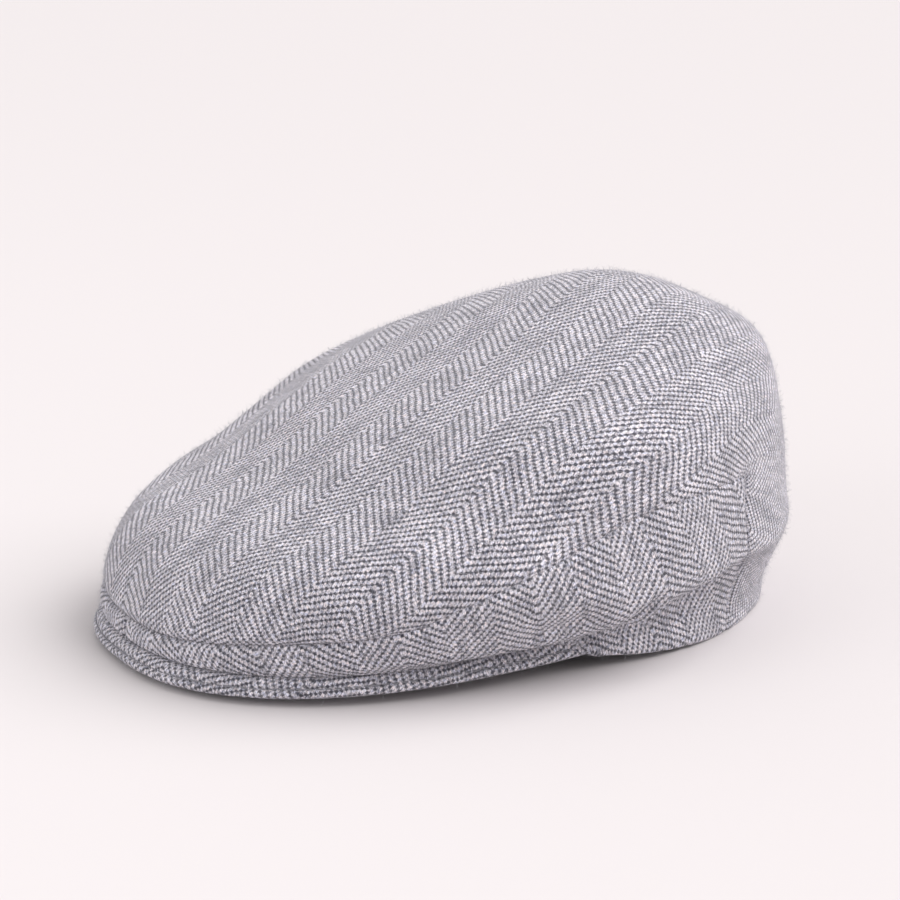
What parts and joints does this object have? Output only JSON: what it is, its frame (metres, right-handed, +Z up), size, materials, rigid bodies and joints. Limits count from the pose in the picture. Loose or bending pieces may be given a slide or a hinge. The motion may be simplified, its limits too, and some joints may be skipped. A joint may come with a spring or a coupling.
{
  "type": "flat cap",
  "caption": "Flat cap in herringbone tweed: a one-piece top runs down the back, two side panels, a short stiff stitched peak, a lining and a sweatband round the head opening.",
  "frame": {"origin": "middle of the head opening, on the plane the rim rests on", "axes": "+Z up, the peak points to -Y, +X is the wearer's left"},
  "size_m": [0.2236, 0.2707, 0.1225],
  "materials": {
    "tweed": "brushed wool herringbone tweed",
    "lining": "smooth satin lining",
    "sweatband": "fine ribbed cotton band",
    "board": "matte sheet",
    "thread": "matte twisted thread",
    "label": "plain woven tape"
  },
  "bodies": {
    "root": {"top_panel": "tweed", "left_side_panel": "tweed", "right_side_panel": "tweed", "lining_top": "lining", "lining_left_side": "lining", "lining_right_side": "lining", "peak_top_cover": "tweed", "peak_board": "board", "peak_under_cover": "tweed", "peak_upper_topstitch": "thread", "peak_lower_topstitch": "thread", "sweatband": "sweatband", "size_label": "label"}
  },
  "joints": []
}
